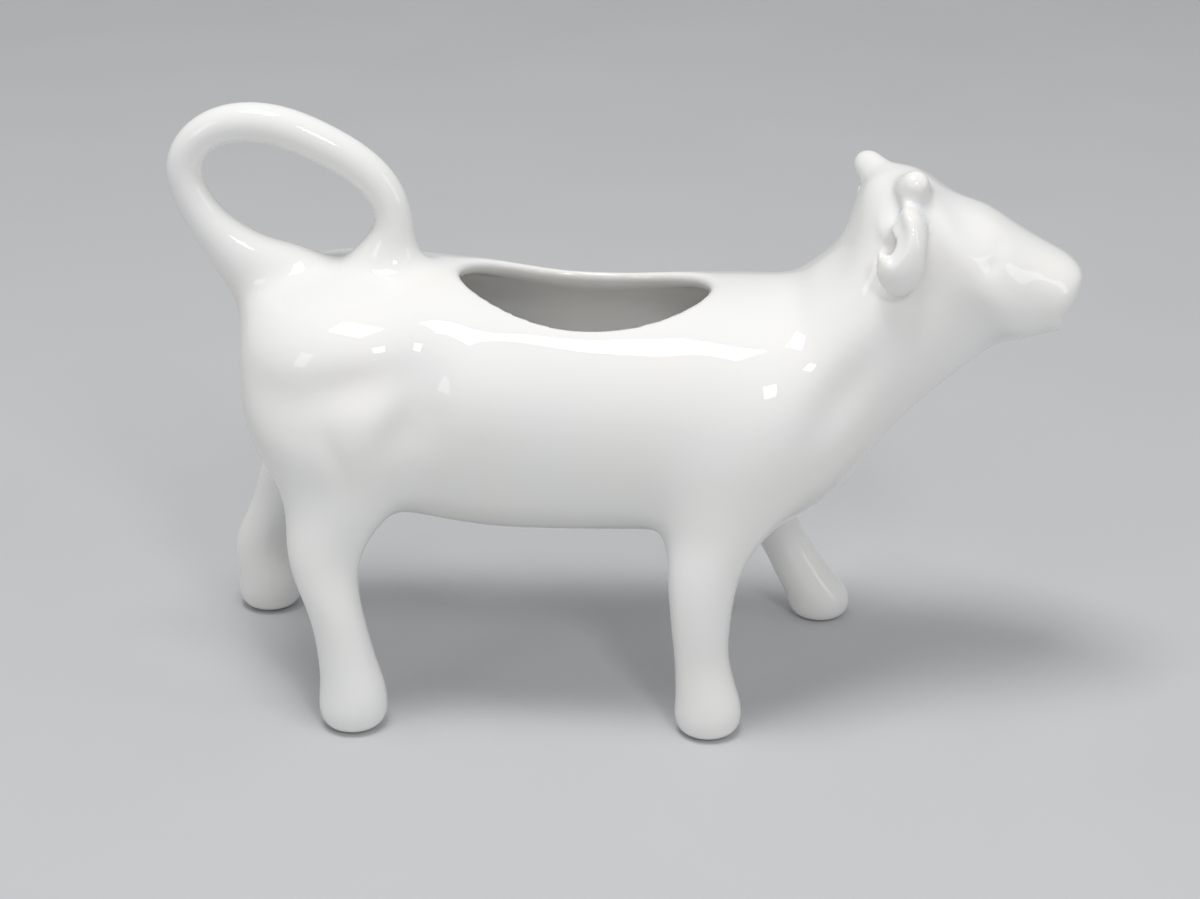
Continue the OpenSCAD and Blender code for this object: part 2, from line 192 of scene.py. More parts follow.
RIGHT_HIND_SWEEP = [0, 0, 0, 0, 0, 0, 0.10, 0.25, 0.45, 0.75, 1.06, 1.11, 0.80, 0.42, 0.30,
                    0.57, 0.90, 1]
LEFT_HIND_SWEEP = [0, 0, 0, 0, 0, -0.02, -0.06, -0.06, 0.04, 0.155, 0.27, 0.42, 0.57, 0.73,
                   0.88, 0.97, 1, 1]
FRONT_UP = [-0.025, 0, 0.018, 0.045, 0.085, 0.125, 0.175, 0.235, 0.31, 0.39, 0.47, 0.54,
            0.61, 0.69, 0.78, 0.87, 0.985, 1.09]
FRONT_OUT = [0, 0, 0, 0, 0, 0, 0, 0, 0, 0.03, 0.12, 0.26, 0.44, 0.62, 0.80, 0.93, 1.1, 1.5]
FRONT_LONG = [0.55, 0.80, 0.91, 0.96, 0.94, 0.87, 0.81, 0.76, 0.80, 0.87, 0.98, 1.13, 1.38,
              1.69, 1.88, 2.00, 1.95, 1.40]
FRONT_WIDE = [0.55, 0.80, 0.91, 0.95, 0.93, 0.87, 0.80, 0.75, 0.78, 0.83, 0.91, 1.01, 1.14,
              1.30, 1.44, 1.48, 1.20, 0.70]
RIGHT_FRONT_SWEEP = [0, 0, 0, 0, 0, -0.08, -0.19, -0.31, -0.37, -0.37, -0.31, -0.13, 0.17,
                     0.44, 0.72, 0.90, 1, 1]
LEFT_FRONT_SWEEP = [0, 0, 0, 0, 0.05, 0.155, 0.26, 0.385, 0.55, 0.685, 0.80, 0.91, 0.975,
                    1.01, 1.02, 1, 1, 1]
# Name, side, way along the trunk to the hip as a share of its length, and the rows
LEGS = (
    ("right_hind_leg", -1, 0.16, RIGHT_HIND_SWEEP, HIND_UP, HIND_OUT, HIND_LONG, HIND_WIDE),
    ("left_hind_leg", 1, 0.16, LEFT_HIND_SWEEP, HIND_UP, HIND_OUT, HIND_LONG, HIND_WIDE),
    ("right_front_leg", -1, 0.875, RIGHT_FRONT_SWEEP, FRONT_UP, FRONT_OUT, FRONT_LONG,
     FRONT_WIDE),
    ("left_front_leg", 1, 0.875, LEFT_FRONT_SWEEP, FRONT_UP, FRONT_OUT, FRONT_LONG,
     FRONT_WIDE))
# Height of a hip as a share of the trunk's, and its distance from the middle plane as a
# share of half the trunk's width
HIP_UP = 0.62
HIP_OUT = 0.62
LEG_SEAM_ROW = 10

# Rows of the tail along its route in the middle plane: the way along the loop from its
# rear edge, height above the back, thickness seen from the side and from behind
TAIL_SHARES = [
    [0.530, -0.31, 2.60, 1.50], [0.440, -0.17, 2.50, 1.45], [0.340, -0.055, 1.90, 1.35],
    [0.238, 0.085, 1.38, 1.16], [0.147, 0.247, 1.05, 1.02], [0.087, 0.423, 0.94, 0.95],
    [0.064, 0.582, 0.92, 0.94], [0.111, 0.738, 0.92, 0.96], [0.205, 0.838, 0.96, 1.00],
    [0.338, 0.875, 1.02, 1.03], [0.495, 0.838, 1.05, 1.04], [0.643, 0.742, 1.05, 1.03],
    [0.781, 0.618, 1.02, 1.00], [0.880, 0.465, 0.97, 0.98], [0.920, 0.310, 0.96, 0.98],
    [0.915, 0.160, 1.18, 1.08], [0.895, 0.030, 1.75, 1.35], [0.880, -0.130, 2.20, 1.50]]
TAIL_ROOT_ROW = 3
TAIL_FRONT_ROW = 15

# Ears and horns are set on by hand, the left ones further back. Here and below, -1 stands
# for the right side and 1 for the left. Where a root lies: along the head as a share of its
# reach, and across and up as shares of its width and of the height from belly to poll
EAR_ALONG = {-1: 0.300, 1: 0.265}
EAR_ACROSS_UP = (0.38, 0.90)
HORN_ALONG = {-1: 0.330, 1: 0.245}
HORN_ACROSS_UP = (0.20, 0.94)

# Rows of an ear: the way forwards, outwards and up from its root as shares of its
# length, breadth and thickness as shares of the ear's
EAR_SHARES = [
    [0.02, -0.25, -0.06, 0.55, 1.00], [0.01, 0.04, -0.02, 0.74, 1.00],
    [0.00, 0.23, -0.02, 0.94, 1.00], [-0.01, 0.33, -0.18, 0.96, 0.94],
    [-0.02, 0.335, -0.38, 0.86, 0.82], [-0.03, 0.30, -0.52, 0.40, 0.45]]

# Rows of a horn: the way along as a share of its length, thickness as a share of its own
HORN_SHARES = [[-0.30, 1.06], [0.15, 1.02], [0.50, 0.94], [0.70, 0.86], [0.86, 0.70],
               [0.96, 0.44], [1.00, 0.16]]
# A horn's tip: as a share of its length, and half its thickness in millimetres
HORN_TIP = (1.01, 0.02)
# Lean forwards and tilt up of each horn, in degrees
HORN_SET = {-1: (9, 47), 1: (-25, 15)}
# Share of the horn fillet's reach that each horn's root has
HORN_BLEND = {-1: 1, 1: 0.62}
# An ear's fillet fades below its root, so that the tip hangs free: its share of the full
# reach at the root, how fast that falls for each ear's length downwards, and the least
EAR_BLEND = (1.3, 2.6, 0.3)
# The leaf-shaped hollow of an ear: its middle forwards and up from the ear's root, its half
# width, half length and depth, and how wide its rim slopes, as shares of the ear's length
CUP = (-0.100, 0.035, 0.145, 0.275, 0.090, 0.060)
# It is pressed only outside a plane through the ear's root, which leans in over the head by
# so much for each millimetre upwards
CUP_LEAN = 0.8
# Swellings of an ear: middle forwards, outwards and up from its root, the three reaches
# and the rise, as shares of its length
EAR_SWELLS = [
    [0.020, 0.170, 0.130, 0.170, 0.190, 0.120, 0.100],   # web up to the horn
    [0.080, 0.390, -0.045, 0.055, 0.130, 0.210, 0.025]]  # rolled front edge
# The left ear stands clear of its horn and takes only this share of the rises
EAR_FILL = {-1: 1, 1: 0.2}

# Muscles and bones under the skin of both sides. Places are shares of the trunk's length,
# half width and height, as for the trunk's rows; the three reaches and the rise, which is
# negative for a hollow, are in millimetres on a trunk as high as MUSCLE_HEIGHT, and the
# turn is in degrees from lengthwise towards up.
MUSCLE_HEIGHT = 49.5
MUSCLES = [
    [0.160, 0.85, 0.82, 17, 9, 13, 1.7, 0],     # haunch
    [0.225, 1.00, 0.70, 11, 7, 4.0, -1.7, 14],  # hollow under the haunch
    [0.242, 1.02, 0.49, 7, 7, 9, 1.6, 0],       # thigh
    [0.283, 1.02, 0.50, 7, 7, 3.2, -0.7, 58],   # crease before the thigh
    [0.192, 1.02, 0.43, 5, 6, 2.0, -0.8, -75],  # crease behind the thigh
    [0.335, 0.98, 0.60, 5, 8, 15, -2.5, -6],    # flank
    [0.060, 0.95, 0.66, 7, 7, 4.0, -0.7, -10],  # hollow beside the rump
    [0.440, 1.00, 0.66, 10, 8, 14, 0.7, 0],     # last ribs
    [0.800, 1.00, 0.55, 7, 8, 14, -0.5, 0],     # behind the shoulder
    [0.930, 0.95, 0.52, 8, 8, 14, 1.2, 0],      # shoulder
    [1.050, 0.78, 0.66, 12, 8, 4.5, -1.4, 55],  # groove between the neck and shoulder
    [1.100, 0.70, 0.86, 9, 7, 5, 0.6, 60],      # neck muscle
    [1.045, 0.28, 1.10, 9, 6, 5, -0.7, 52],     # beside the crest of the neck
    [0.450, 0, 0.00, 14, 18, 8, 0.8, 0]]        # sag of the belly
# The same, raised once the legs are on: the fold of skin in front of a thigh
STIFLES = [[0.245, 0.90, 0.05, 5, 7, 10, 1.3, 0]]

# The same for the face: places as shares of the head's reach and width and of the height
# from belly to poll, and millimetres on a head as wide as FACE_WIDTH
FACE_WIDTH = 29.0
FACE = [
    [0.672, 0.38, 0.842, 1.3, 2.5, 1.0, -0.40, 0],   # upper corner of the eye
    [0.626, 0.45, 0.795, 1.5, 2.5, 1.2, -0.40, 0],   # lower corner of the eye
    [0.665, 0.24, 0.900, 3.5, 3.0, 2.0, 0.40, -25],  # brow
    [0.600, 0.48, 0.730, 7.0, 4.0, 3.5, 0.30, -20],  # cheek
    [1.000, 0.00, 0.622, 4.0, 10, 1.5, -4.5, -10],   # parting of the lips
    [1.010, 0.00, 0.670, 3.0, 8.0, 2.4, -1.5, 0],    # under the nose
    [0.960, 0.00, 0.580, 2.5, 6.0, 1.4, 1.1, 0]]     # lower lip

# Middle of the pouring mouth's inner end: shares as for the face
MOUTH_AT = (0.86, 0, 0.630)


class Cow:
    """The creamer's sizes in millimetres, and the places worked out from them."""

    def __init__(self, scene):
        for group in (scene.creamer_sizes, scene.creamer_edges):
            for name in type(group).__annotations__:
                setattr(self, name, getattr(group, name) / MM)
        self.length = self.tail_back + self.trunk_length + self.head_reach
        self.rump_x = self.tail_back - self.length / 2
        self.shoulder_x = self.rump_x + self.trunk_length
        self.back_z = self.belly_height + self.trunk_height
        self.poll_z = self.back_z + self.head_rise
        self.hip_height = self.belly_height + HIP_UP * self.trunk_height

    def trunk_row(self, share):
        """Top, bottom and half width of a ring of the trunk."""
        return [self.rump_x + share[0] * self.trunk_length,
                self.belly_height + share[1] * self.trunk_height,
                self.rump_x + share[2] * self.trunk_length,
                self.belly_height + share[3] * self.trunk_height,
                share[4] * self.trunk_width / 2]

    def head_row(self, share):
        """The same for a ring of the neck or head."""
        tall = self.poll_z - self.belly_height
        return [self.shoulder_x + share[0] * self.head_reach,
                self.belly_height + share[1] * tall,
                self.shoulder_x + share[2] * self.head_reach,
                self.belly_height + share[3] * tall,
                share[4] * self.head_width / 2]

    def on_head(self, along, across, up):
        """A place on the head: shares of its reach, its width and the poll's height."""
        return np.array([self.shoulder_x + along * self.head_reach, across * self.head_width,
                         self.belly_height + up * (self.poll_z - self.belly_height)])

    def on_trunk(self, along, across, up):
        """A place on the trunk: shares of its length, half its width and its height."""
        return np.array([self.rump_x + along * self.trunk_length,
                         across * self.trunk_width / 2,
                         self.belly_height + up * self.trunk_height])

    def legs(self):
        """Rows of each leg: height, middle and half sizes of its level rings."""
        places = {"right_hind_leg": self.right_hind_foot, "left_hind_leg": -self.left_hind_foot,
                  "right_front_leg": self.right_front_foot,
                  "left_front_leg": self.left_front_foot}
        half = self.foot_width / 2
        found = []
        for name, side, hip, *columns in LEGS:
            foot_x, foot_y = self.rump_x + places[name], side * self.stance_width / 2
            hip_x = self.rump_x + hip * self.trunk_length
            hip_y = side * HIP_OUT * self.trunk_width / 2
            found.append([[up * self.hip_height, foot_x + sweep * (hip_x - foot_x),
                           foot_y + out * (hip_y - foot_y), long * half, wide * half]
                          for sweep, up, out, long, wide in zip(*columns)])
        return found


# Rows are taken to be at least so far apart, in millimetres
SHORTEST_GAP = 0.3


def smooth_rows(rows, step, measure):
    """Rows every step along the smoothest curve through the given ones, whose spacing is
    taken from the first measure columns. Also gives each given row's place on it."""
    rows = np.array(rows, float)
    last = len(rows) - 1
    gaps = np.linalg.norm(np.diff(rows[:, :measure], axis=0), axis=1)
    gaps = np.maximum(gaps, SHORTEST_GAP)
    place = np.concatenate([[0], np.cumsum(gaps)])
    matrix = np.zeros((last + 1, last + 1))
    right = np.zeros_like(rows)
    matrix[0, 0] = matrix[last, last] = 1
    for i in range(1, last):
        matrix[i, i - 1:i + 2] = [gaps[i - 1], 2 * (gaps[i - 1] + gaps[i]), gaps[i]]
        right[i] = 6 * ((rows[i + 1] - rows[i]) / gaps[i] - (rows[i] - rows[i - 1]) / gaps[i - 1])
    bend = np.linalg.solve(matrix, right)
    at = np.linspace(0, place[-1], int(math.ceil(place[-1] / step)) + 1)
    i = np.clip(np.searchsorted(place, at, side="right") - 1, 0, last - 1)
    gap = gaps[i][:, None]
    a = (place[i + 1] - at)[:, None] / gap
    b = 1 - a
    curve = (a * rows[i] + b * rows[i + 1]
             + ((a ** 3 - a) * bend[i] + (b ** 3 - b) * bend[i + 1]) * gap ** 2 / 6)
    return curve, place / place[-1] * (len(at) - 1)


def soften_rows(rows, reach):
    """Rows evened out over a few neighbours, with both ends kept."""
    count = int(reach * BELL)
    weights = np.exp(-0.5 * (np.arange(-count, count + 1) / reach) ** 2)
    weights /= weights.sum()
    head = 2 * rows[0] - rows[count:0:-1]
    tail = 2 * rows[-1] - rows[-2:-count - 2:-1]
    long = np.concatenate([head, rows, tail])
    return np.stack([np.convolve(long[:, c], weights, "valid") for c in range(rows.shape[1])], 1)


def oval(sides, power=2.0):
    """Points of an outline of half sizes 1, squarer with a higher power."""
    a = np.arange(sides) * 2 * math.pi / sides
    c, s = np.cos(a), np.sin(a)
    return np.sign(c) * np.abs(c) ** (2 / power), np.sign(s) * np.abs(s) ** (2 / power)


# Corners of the rings of each kind of skin
GIRTH_SIDES, LEG_SIDES, TAIL_SIDES, EAR_SIDES = 96, 64, 48, 40


def unit(vectors):
    """The same directions with a length of 1."""
    return vectors / np.maximum(np.linalg.norm(vectors, axis=-1, keepdims=True), TINY)


def in_middle_plane(x, z):
    """Points or directions of the plane that parts left from right."""
    return np.stack([x, np.zeros(len(x)), z], 1)


def skin(middles, first, second, sides, power=2.0):
    """Closed skin over oval rings, with a middle point at each end. First and second are
    the two half axes of each ring."""
    across, up = oval(sides, power)
    rings = middles[:, None] + first[:, None] * across[:, None] + second[:, None] * up[:, None]
    points = np.concatenate([rings.reshape(-1, 3), [rings[0].mean(0), rings[-1].mean(0)]])
    j = np.arange(sides)
    k = (j + 1) % sides
    low = np.arange(len(rings) - 1)[:, None] * sides
    quads = np.stack([low + j, low + k, low + sides + k, low + sides + j], -1).reshape(-1, 4)
    centre = len(points) - 2
    top = centre - sides
    start = np.stack([k, j, np.full(sides, centre)], -1)
    end = np.stack([top + j, top + k, np.full(sides, centre + 1)], -1)
    return points, quads, np.concatenate([start, end])


def girth_skin(rows):
    """Skin over upright rings given by their top, bottom and half width."""
    top, bottom = rows[:, 0:2], rows[:, 2:4]
    middle, half = (top + bottom) / 2, (top - bottom) / 2
    return skin(in_middle_plane(*middle.T), rows[:, 4:5] * [0, 1, 0], in_middle_plane(*half.T),
                GIRTH_SIDES, CORNER_POWER)


def leg_skin(rows):
    """Skin over level rings given by height, middle and half sizes."""
    return skin(rows[:, [1, 2, 0]], rows[:, 3:4] * [1, 0, 0], rows[:, 4:5] * [0, 1, 0], LEG_SIDES)


def tail_skin(rows):
    """Skin over rings square to a route in the middle plane."""
    way = unit(np.gradient(rows[:, :2], axis=0))
    return skin(in_middle_plane(rows[:, 0], rows[:, 1]),
                rows[:, 2:3] * in_middle_plane(-way[:, 1], way[:, 0]),
                rows[:, 3:4] * [0, 1, 0], TAIL_SIDES)


class Block:
    """Evenly spaced sample points, in millimetres, that fields are worked out on."""

    def __init__(self, low, high, step):
        self.low, self.step = np.array(low, float), step
        self.shape = tuple(np.ceil((np.array(high) - self.low) / step).astype(int) + 1)

    def axis(self, i):
        """Places of the samples along X, Y or Z, shaped to combine with the others."""
        shape = [1, 1, 1]
        shape[i] = -1
        return (self.low[i] + np.arange(self.shape[i]) * self.step).reshape(shape)

    def steps(self, places):
        """Places as counts of steps from the block's corner."""
        return (places - self.low) / self.step

    def distance(self, shape):
        """Distance to a closed skin, negative inside it."""
        points, quads, triangles = shape
        even = openvdb.createLinearTransform(voxelSize=self.step)
        grid = openvdb.FloatGrid.createLevelSetFromPolygons(
            (points - self.low).astype(np.float32), triangles=triangles.astype(np.uint32),
            quads=quads.astype(np.uint32), transform=even, halfWidth=BAND / self.step)
        field = np.full(self.shape, BAND, np.float32)
        grid.copyToArray(field)
        return field

    def raise_swell(self, field, centre, radii, height, turn=0.0):
        """Adds a soft swelling, or with a negative height a hollow. Turn is in degrees
        about the cow's width, from lengthwise towards up."""
        c, s = math.cos(math.radians(turn)), math.sin(math.radians(turn))
        spread = [BELL * math.hypot(radii[0] * c, radii[2] * s), BELL * radii[1],
                  BELL * math.hypot(radii[0] * s, radii[2] * c)]
        box = []
        for i in range(3):
            first = int((centre[i] - spread[i] - self.low[i]) / self.step)
            last = int((centre[i] + spread[i] - self.low[i]) / self.step) + 2
            box.append(slice(min(max(first, 0), self.shape[i]), min(max(last, 0), self.shape[i])))
        x = self.axis(0)[box[0]] - centre[0]
        y = self.axis(1)[:, box[1]] - centre[1]
        z = self.axis(2)[:, :, box[2]] - centre[2]
        along, up = (x * c + z * s) / radii[0], (z * c - x * s) / radii[2]
        field[tuple(box)] -= height * np.exp(-along ** 2 - (y / radii[1]) ** 2 - up ** 2)


def merge(a, b, reach):
    """Two forms as one, with a fillet that reaches so far from where they meet."""
    near = np.maximum(reach - np.abs(a - b), 0) / reach
    return np.minimum(a, b) - near ** 3 * (reach / 6)


def carve(a, b, reach):
    """The first form without the second, with a rounded edge."""
    return -merge(-a, b, reach)


def even_out(field):
    """The field evened out over its nearest neighbours, as glaze evens out a form."""
    for axis in range(3):
        field = 0.5 * field + 0.25 * (np.roll(field, 1, axis) + np.roll(field, -1, axis))
    return field


def trunk_of(cow, block):
    """Distance to the trunk, neck and head, with the muscles and bones under the skin."""
    rows = [cow.trunk_row(r) for r in TRUNK_SHARES]
    rows += [cow.head_row(r) for r in NECK_SHARES + HEAD_SHARES]
    curve = smooth_rows(rows, step=1.0, measure=4)[0]
    field = block.distance(girth_skin(soften_rows(curve, reach=2.0)))
    raise_swells(block, field, MUSCLES, cow.on_trunk, cow.trunk_height / MUSCLE_HEIGHT)
    return field


def raise_swells(block, field, rows, place_of, scale):
    """Raises the swellings and hollows of a table, on both sides unless in the middle."""
    for along, across, up, *sizes, turn in rows:
        for side in (-1, 1) if across else (1,):
            *radii, height = (size * scale for size in sizes)
            block.raise_swell(field, place_of(along, side * across, up), radii, height, turn)


def ear_rows(cow, side):
    """Rows along an ear, as if it were the left one."""
    root = cow.on_head(EAR_ALONG[side], *EAR_ACROSS_UP)
    rows = [[*(root + np.array(r[:3]) * cow.ear_length), r[3] * cow.ear_width / 2,
             r[4] * cow.ear_thickness / 2] for r in EAR_SHARES]
    return smooth_rows(rows, step=0.35, measure=3)[0]


def ear_skin(rows, side):
    """Skin of an ear over rings square to its route."""
    way = unit(np.gradient(rows[:, :3], axis=0))
    outward = unit(np.cross(way, [1.0, 0.0, 0.0]))
    broad = np.cross(outward, way)
    shape = skin(rows[:, :3], broad * rows[:, 3:4], outward * rows[:, 4:5], EAR_SIDES)
    return shape if side > 0 else mirrored(shape)


def horn_rows(cow, side):
    """Rows along a horn, and the way that it points."""
    lean, tilt = (math.radians(a) for a in HORN_SET[side])
    way = np.array([math.sin(lean), side * math.cos(lean) * math.cos(tilt),
                    math.cos(lean) * math.sin(tilt)])
    root = cow.on_head(HORN_ALONG[side], *HORN_ACROSS_UP) * [1, side, 1]
    rows = [[*(root + way * r[0] * cow.horn_length), r[1] * cow.horn_thickness / 2]
            for r in HORN_SHARES]
    rows.append([*(root + way * cow.horn_length * HORN_TIP[0]), HORN_TIP[1]])
    return smooth_rows(rows, step=0.3, measure=3)[0], way


def horn_skin(rows, way):
    """Skin of a horn over rings square to the way that it points."""
    first = unit(np.cross([0.0, 0.0, 1.0], way))
    second = np.cross(way, first)
    return skin(rows[:, :3], first * rows[:, 3:4], second * rows[:, 3:4], EAR_SIDES)


def mirrored(shape):
    """A skin of the other side of the cow."""
    points, quads, triangles = shape
    return points * [1, -1, 1], quads[:, ::-1], triangles[:, ::-1]


def tail_rows(cow):
    """Rows along the tail's route, and the places of the given ones on it."""
    rows = [[cow.rump_x - cow.tail_back + r[0] * cow.tail_length,
             cow.back_z + r[1] * cow.tail_rise, r[2] * cow.tail_thickness / 2,
             r[3] * cow.tail_thickness / 2] for r in TAIL_SHARES]
    curve, places = smooth_rows(rows, step=0.6, measure=2)
    return soften_rows(curve, reach=3.0), places


def ears_and_horns(cow, block):
    """Distance to each ear and horn, by its node's name."""
    found = {}
    for side, name in SIDES:
        found[name + "_ear"] = block.distance(ear_skin(ear_rows(cow, side), side))
        found[name + "_horn"] = block.distance(horn_skin(*horn_rows(cow, side)))
    return found


def shape_ears(cow, block, form):
    """Fills the ears out towards the horns, and presses their hollows in."""
    forwards, up, half_width, half_length, depth, slope = np.array(CUP) * cow.ear_length
    for side in (-1, 1):
        root = cow.on_head(EAR_ALONG[side], *EAR_ACROSS_UP)
        for row in np.array(EAR_SWELLS) * cow.ear_length:
            block.raise_swell(form, (root + row[:3]) * [1, side, 1], row[3:6],
                              row[6] * EAR_FILL[side])
        across = (block.axis(0) - root[0] - forwards) / half_width
        along = (block.axis(2) - root[2] - up) / half_length
        inside = np.clip((1 - np.abs(across) - along ** 2) * half_width / slope, 0, 1)
        outer = side * block.axis(1) - root[1] + CUP_LEAN * (block.axis(2) - root[2])
        form += depth * inside * inside * (3 - 2 * inside) * np.clip(outer, 0, 1)


def form_of(cow, block, roots):
    """Distance to the whole glazed creamer on a block of sample points. With roots it
    takes the ears and horns in, and keeps where each meets the rest."""
    trunk = trunk_of(cow, block)
    form = trunk
    if roots is None:
        form = merge(form, block.distance(tail_skin(tail_rows(cow)[0])), cow.tail_fillet)
    for rows in cow.legs():
        curve = soften_rows(smooth_rows(rows, step=0.8, measure=3)[0], reach=2.0)
        form = merge(form, block.distance(leg_skin(curve)), cow.hip_fillet)
    raise_swells(block, form, STIFLES, cow.on_trunk, cow.trunk_height / MUSCLE_HEIGHT)
    if roots is not None:
        luted = ears_and_horns(cow, block)
        for name, own in luted.items():
            rest = [luted[other] for other in luted if other != name]
            roots[name] = np.minimum.reduce([form, *rest]) - own
        above_root = (block.axis(2) - cow.on_head(0, *EAR_ACROSS_UP)[2]) / cow.ear_length
        at_root, fall, least = EAR_BLEND
        ear_reach = cow.ear_fillet * np.clip(at_root + fall * above_root, least, 1)
        for side, name in SIDES:
            form = merge(form, luted[name + "_ear"], ear_reach)
        shape_ears(cow, block, form)
        for side, name in SIDES:
            form = merge(form, luted[name + "_horn"], cow.horn_fillet * HORN_BLEND[side])
        raise_swells(block, form, FACE, cow.on_head, cow.head_width / FACE_WIDTH)
    form = carve(form, trunk + cow.wall, reach=1.0)
    form = carve(form, opening_of(cow, block), cow.rim_round)
    form = carve(form, mouth_of(cow, block), cow.lip_round)
    form = carve(form, np.broadcast_to(block.axis(2), block.shape), cow.sole_round)
    return even_out(form.astype(np.float32))


def oval_hole(a, b, length_a, length_b):
    """Distance to an endless hole with an oval outline, at places a and b across it."""
    a_half, b_half = length_a / 2, length_b / 2
    round_of = np.sqrt((a / a_half) ** 2 + (b / b_half) ** 2)
    slope = np.sqrt((a / a_half ** 2) ** 2 + (b / b_half ** 2) ** 2)
    return np.clip((round_of - 1) * round_of / np.maximum(slope, TINY), -BAND, BAND)


def opening_of(cow, block):
    """Distance to the upright oval cut through the back."""
    along = block.axis(0) - cow.rump_x - cow.opening_place
    hole = oval_hole(along, block.axis(1), cow.opening_length, cow.opening_width)
    return np.maximum(hole, cow.belly_height + cow.trunk_height / 2 - block.axis(2))


def mouth_of(cow, block):
    """Distance to the oval channel that runs out between the lips."""
    start = cow.on_head(*MOUTH_AT)
    hole = oval_hole(block.axis(1), block.axis(2) - start[2], cow.mouth_width, cow.mouth_height)
    return np.maximum(hole, start[0] - block.axis(0))


def at_points(field, points):
    """A field's values at points given in steps from the block's corner."""
    top = np.array(field.shape[:3]) - 2
    cell = np.clip(np.floor(points).astype(int), 0, top)
    part = np.clip(points - cell, 0, 1)
    total = 0
    for corner in np.ndindex(2, 2, 2):
        weight = np.prod(np.where(np.array(corner) == 1, part, 1 - part), axis=1)
        values = field[tuple((cell + corner).T)]
        total = total + (weight[:, None] * values if values.ndim == 2 else weight * values)
    return total


# How often the mesh's points move towards the middle of their neighbours, and how far
RELAX_ROUNDS = 4
RELAX = 0.5


class Skin:
    """The creamer's surface on a block: its field, slopes and how it bends."""

    def __init__(self, field, block):
        self.block, self.field = block, field
        self.slopes = np.stack(np.gradient(field), -1)
        ways = unit(self.slopes)
        bend = sum(np.gradient(ways[..., i], axis=i) for i in range(3)) / block.step
        self.bend = even_out(even_out(bend))

    def settle(self, points):
        """Points moved onto the surface along its slope, in steps from the corner."""
        slope = at_points(self.slopes, points)
        value = at_points(self.field, points)
        return points - slope * (value / np.maximum((slope ** 2).sum(1), TINY))[:, None]

    def mesh(self):
        """Points in millimetres and quads of the whole surface."""
        grid = openvdb.FloatGrid(BAND)
        grid.gridClass = openvdb.GridClass.LEVEL_SET
        grid.copyFromArray(self.field)
        points, quads = grid.convertToQuads()
        points, quads = points.astype(float), quads.astype(int)[:, ::-1]
        a = quads.ravel()
        b = np.roll(quads, -1, axis=1).ravel()
        count = np.bincount(np.concatenate([a, b]), minlength=len(points))[:, None]
        for _ in range(RELAX_ROUNDS):
            near = np.stack([np.bincount(a, points[b, i], len(points))
                             + np.bincount(b, points[a, i], len(points)) for i in range(3)], 1)
            points = self.settle(points + RELAX * (near / np.maximum(count, 1) - points))
        points = self.settle(points)
        return points * self.block.step + self.block.low, quads


# How far the middle of an outline may lie from its seam's own middle: shares of the tail's
# thickness, a foot's width, the head's width, an ear's length and a horn's thickness
TAIL_REACH, LEG_REACH, NECK_REACH, EAR_REACH, HORN_REACH = 0.6, 0.3, 0.3, 0.5, 1.0

# How far the neck's seam stands back, as a share of the head's width
NECK_SEAM_BACK = 0.1


class Seam:
    """A flat seam at which a piece was luted on: its middle, the way out along the piece,
    and how far from that point the middle of its outline may lie."""

    def __init__(self, point, way, reach):
        self.point = Vector(point)
        self.way = Vector(way).normalized()
        self.reach = reach

    def offset(self, place):
        """How far out along the piece one place lies."""
        return (place - self.point).dot(self.way)

    def offsets(self, places):
        """The same for many places."""
        return (places - np.array(self.point)) @ np.array(self.way)


class RootSeam:
    """The line round the root of an ear or horn, midway up its fillet."""

    def __init__(self, block, field, point, reach):
        self.block, self.field = block, field
        self.point, self.reach = Vector(point), reach

    def offsets(self, places):
        """Above nought on the ear or horn, and below it on the rest."""
        return at_points(self.field, self.block.steps(places))


def body_seams(cow):
    """Seams of the tail's two ends and of the four legs."""
    rows, places = tail_rows(cow)
    points = in_middle_plane(rows[:, 0], rows[:, 1])
    for row in (TAIL_ROOT_ROW, TAIL_FRONT_ROW):
        i = int(round(places[row]))
        yield Seam(points[i], points[i + 1] - points[i - 1], TAIL_REACH * cow.tail_thickness)
    for rows in cow.legs():
        height, x, y = rows[LEG_SEAM_ROW][:3]
        yield Seam((x, y, height), (0, 0, -1), LEG_REACH * cow.foot_width)


def neck_seam(cow):
    """Seam between the neck and the head, clear of the left ear's and horn's fillets."""
    row = cow.head_row(NECK_SHARES[-1])
    top, bottom = Vector((row[0], 0, row[1])), Vector((row[2], 0, row[3]))
    line = (top - bottom).normalized()
    way = Vector((line.z, 0, -line.x))
    middle = (top + bottom) / 2 - NECK_SEAM_BACK * cow.head_width * way
    return Seam(middle, way, NECK_REACH * cow.head_width)


def head_seams(cow, block, roots):
    """Seams of the ears and horns."""
    for side, name in SIDES:
        ear = ear_rows(cow, side)[:, :3].mean(0) * [1, side, 1]
        horn = horn_rows(cow, side)[0][:, :3].mean(0)
        yield RootSeam(block, roots[name + "_ear"], ear, EAR_REACH * cow.ear_length)
        yield RootSeam(block, roots[name + "_horn"], horn, HORN_REACH * cow.horn_thickness)


# A seam's outline crosses more faces than this, and a speck of its field fewer
SHORTEST_LOOP = 12
# A piece has at least so many faces, and a crumb fewer
SMALLEST_PART = 100
# How close to a seam's plane its cut lies, in millimetres
ON_SEAM = 2e-3
# How far the box of the right part may be off its node's, as a share of that box
LARGEST_MISFIT = 0.5


def hanging_together(items, next_to):
    """Lists of the items that hang together, where next_to gives what an item touches."""
    left = dict.fromkeys(items)
    while left:
        group = [left.popitem()[0]]
        for item in group:
            for other in next_to(item):
                if other in left:
                    del left[other]
                    group.append(other)
        yield group


def middle_of(faces):
    """Middle of some faces."""
    return sum((f.calc_center_median() for f in faces), Vector()) / len(faces)


